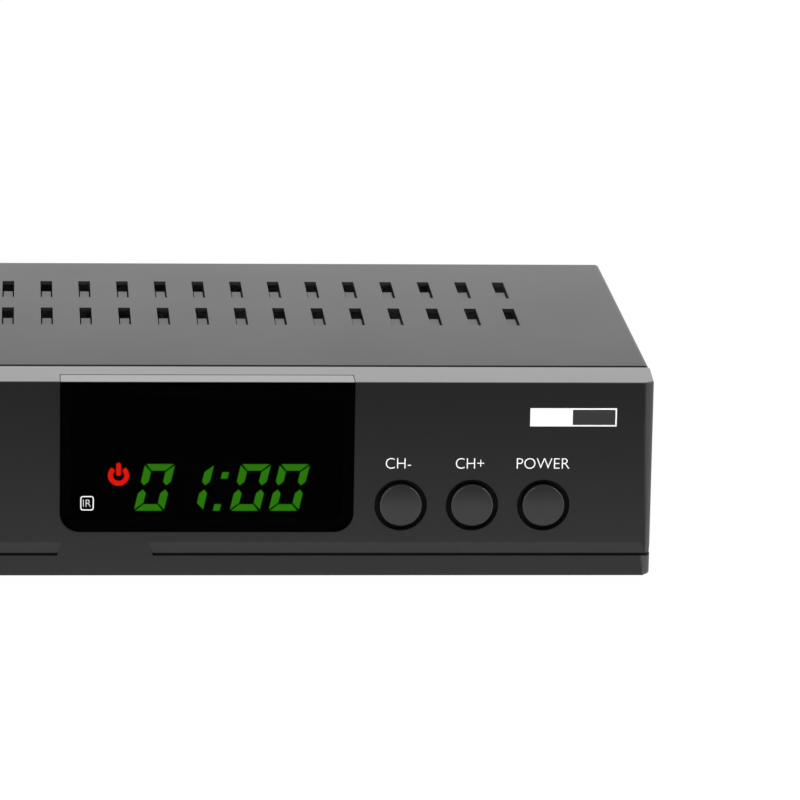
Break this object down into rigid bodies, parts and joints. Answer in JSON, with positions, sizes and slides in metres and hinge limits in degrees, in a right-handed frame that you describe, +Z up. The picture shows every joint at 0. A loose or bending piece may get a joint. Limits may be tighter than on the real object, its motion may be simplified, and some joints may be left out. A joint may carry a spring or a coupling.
{
  "type": "terrestrial television receiver",
  "caption": "Shallow set-top box with louvred steel cover, moulded front, smoked display window, round push buttons and rear sockets.",
  "frame": {"origin": "on the table, under the middle of the whole box with its buttons and sockets", "axes": "+X to the right seen from the front, +Y from the front to the rear sockets, +Z up"},
  "size_m": [0.215, 0.123, 0.0405],
  "materials": {
    "grey_steel": "satin grey paint",
    "plain_steel": "zinc-plated sheet",
    "bezel_plastic": "fine matt moulding",
    "lens_acrylic": "polished smoked acrylic",
    "button_plastic": "satin",
    "black_plastic": "moulded",
    "chip_epoxy": "fine grain",
    "green_board": "solder mask",
    "blue_board": "solder mask",
    "tan_board": "bare paper laminate",
    "bright_metal": "nickel or tin plate",
    "gold_contact": "plated",
    "screw_steel": "zinc plate",
    "heatsink_metal": "black anodised",
    "spreader_metal": "bare",
    "segment_glow": "lit diffuser",
    "lamp_red": "tinted resin",
    "white_plastic": "moulded",
    "yellow_plastic": "moulded",
    "ivory_plastic": "moulded",
    "red_plastic": "moulded",
    "dark_sleeve": "shrink sleeve",
    "blue_sleeve": "shrink sleeve",
    "green_sleeve": "shrink sleeve",
    "ferrite": "pressed ferrite",
    "yellow_tape": "wrapped tape",
    "copper_wire": "enamelled winding",
    "fuse_glass": "glass with metal caps",
    "film_sheet": "film",
    "red_wire": "insulation",
    "ribbon_film": "flat cable",
    "foot_rubber": "matt"
  },
  "bodies": {
    "case": {"base_tray": "plain_steel", "top_cover": "grey_steel", "front_bezel": "bezel_plastic", "display_lens": "lens_acrylic", "snap_domes": "bright_metal", "tact_switches": "black_plastic", "front_board": "green_board", "display_module": "black_plastic", "display_segments": "segment_glow", "standby_lamp": "lamp_red", "ir_receiver": "black_plastic", "usb_shell": "bright_metal", "usb_contacts": "white_plastic", "main_board": "green_board", "processor": "chip_epoxy", "heatsink": "heatsink_metal", "memory_chips": "chip_epoxy", "crystal": "bright_metal", "board_capacitors": "blue_sleeve", "board_connectors": "white_plastic", "tuner_can": "bright_metal", "tuner_lid": "bright_metal", "tuner_board": "blue_board", "aerial_socket": "bright_metal", "aerial_contact": "gold_contact", "loop_socket": "bright_metal", "loop_pin": "gold_contact", "av_block": "black_plastic", "av_barrels": "bright_metal", "video_insert": "yellow_plastic", "left_audio_insert": "ivory_plastic", "right_audio_insert": "red_plastic", "hdmi_shell": "bright_metal", "hdmi_contacts": "black_plastic", "mains_inlet": "black_plastic", "mains_pins": "bright_metal", "supply_board": "tan_board", "insulator_sheet": "film_sheet", "mains_fuse": "fuse_glass", "line_choke": "copper_wire", "bulk_capacitor": "dark_sleeve", "transformer_core": "ferrite", "transformer_bobbin": "yellow_tape", "output_capacitors": "green_sleeve", "heat_spreaders": "spreader_metal", "supply_wires": "red_wire", "front_ribbon": "ribbon_film", "cover_screws": "screw_steel", "board_screws": "screw_steel", "front_board_screws": "screw_steel", "bezel_screws": "screw_steel", "rubber_feet": "foot_rubber"},
    "channel_down": {"channel_down_button": "button_plastic", "channel_down_plunger": "black_plastic"},
    "channel_up": {"channel_up_button": "button_plastic", "channel_up_plunger": "black_plastic"},
    "power": {"power_button": "button_plastic", "power_plunger": "black_plastic"}
  },
  "joints": [
    {"name": "channel_down_press", "type": "slide", "parent": "case", "child": "channel_down", "axis": [0, 1, 0], "range_m": [0, 0.0003], "stiffness_N_per_m": 1500},
    {"name": "channel_up_press", "type": "slide", "parent": "case", "child": "channel_up", "axis": [0, 1, 0], "range_m": [0, 0.0003], "stiffness_N_per_m": 1500},
    {"name": "power_press", "type": "slide", "parent": "case", "child": "power", "axis": [0, 1, 0], "range_m": [0, 0.0003], "stiffness_N_per_m": 1500}
  ]
}
